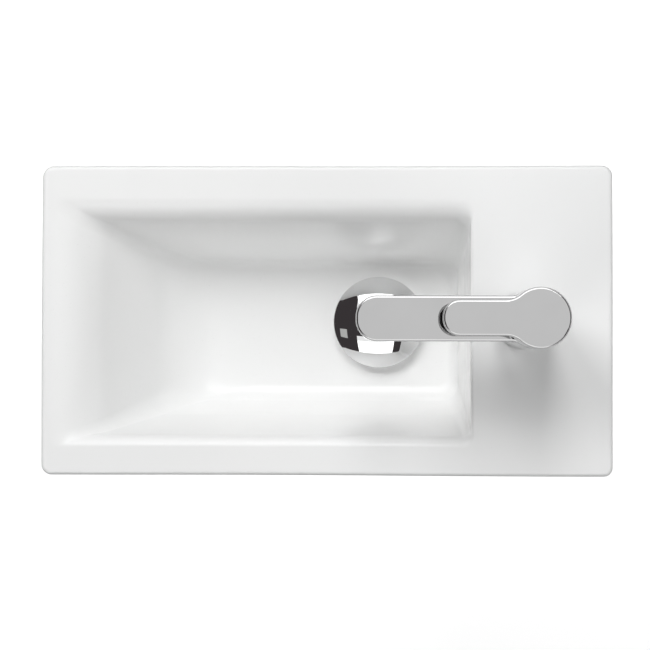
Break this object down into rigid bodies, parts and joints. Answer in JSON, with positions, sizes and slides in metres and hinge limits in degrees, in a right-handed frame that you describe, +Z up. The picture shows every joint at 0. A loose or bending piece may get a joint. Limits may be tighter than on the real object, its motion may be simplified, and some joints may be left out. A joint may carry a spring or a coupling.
{
  "type": "washbasin",
  "caption": "Small rectangular wall-hung washbasin with a sloping bowl, a single-lever mixer on its right deck and a domed click waste.",
  "frame": {"origin": "midway between the two wall-fixing holes, on the flat back face that meets the wall", "axes": "+X to the user's right along the basin's length, +Y into the wall, +Z up"},
  "size_m": [0.405, 0.22, 0.285],
  "materials": {
    "glazed_ceramic": "white gloss glaze",
    "chromed_brass": "bright chrome plate",
    "brass": "machined brass",
    "steel": "plain stainless steel",
    "rubber": "black matt rubber",
    "plastic": "moulded light grey plastic",
    "ceramic_disc": "lapped technical ceramic"
  },
  "bodies": {
    "basin": {"basin_body": "glazed_ceramic", "mixer_body": "chromed_brass", "cartridge_shroud": "chromed_brass", "aerator_housing": "chromed_brass", "waste_body": "chromed_brass", "cartridge_nut": "brass", "fixing_nut": "brass", "waste_backnut": "brass", "fixing_stud": "steel", "horseshoe_washer": "steel", "waste_spring": "steel", "aerator_seal": "rubber", "base_gasket": "rubber", "port_seals": "rubber", "cartridge_ring_seal": "rubber", "horseshoe_gasket": "rubber", "waste_top_seal": "rubber", "waste_bottom_seal": "rubber", "aerator_insert": "plastic", "cartridge_body": "plastic", "cartridge_base": "plastic", "waste_washer": "plastic", "click_barrel": "plastic", "click_guide": "plastic", "fixed_disc": "ceramic_disc"},
    "turret": {"spindle_carrier": "plastic", "spindle_pin": "steel"},
    "lever": {"lever_handle": "chromed_brass", "lever_grub_screw": "steel", "lever_plug": "plastic", "spindle": "steel"},
    "disc": {"moving_disc": "ceramic_disc", "disc_slider": "plastic"},
    "cap": {"waste_cap": "chromed_brass", "cap_stem": "steel", "cap_seal": "rubber"}
  },
  "joints": [
    {"name": "lever_turn", "type": "hinge", "parent": "basin", "child": "turret", "pos_m": [0.1388, -0.11, 0.122], "axis": [0, 0, 1], "range_deg": [-45, 45]},
    {"name": "lever_tilt", "type": "hinge", "parent": "turret", "child": "lever", "pos_m": [0.1388, -0.11, 0.122], "axis": [0, 1, 0], "range_deg": [0, 25]},
    {"name": "disc_slide", "type": "slide", "parent": "turret", "child": "disc", "axis": [1, 0, 0], "range_m": [-0.0044, 0]},
    {"name": "cap_press", "type": "slide", "parent": "basin", "child": "cap", "axis": [0, 0, 1], "range_m": [-0.008, 0], "stiffness_N_per_m": 500, "springref_m": 0.005, "deforming": ["waste_spring"]}
  ],
  "couplings": [
    {"joint": "disc_slide", "follows": "lever_tilt", "m_per_rad": -0.01}
  ]
}
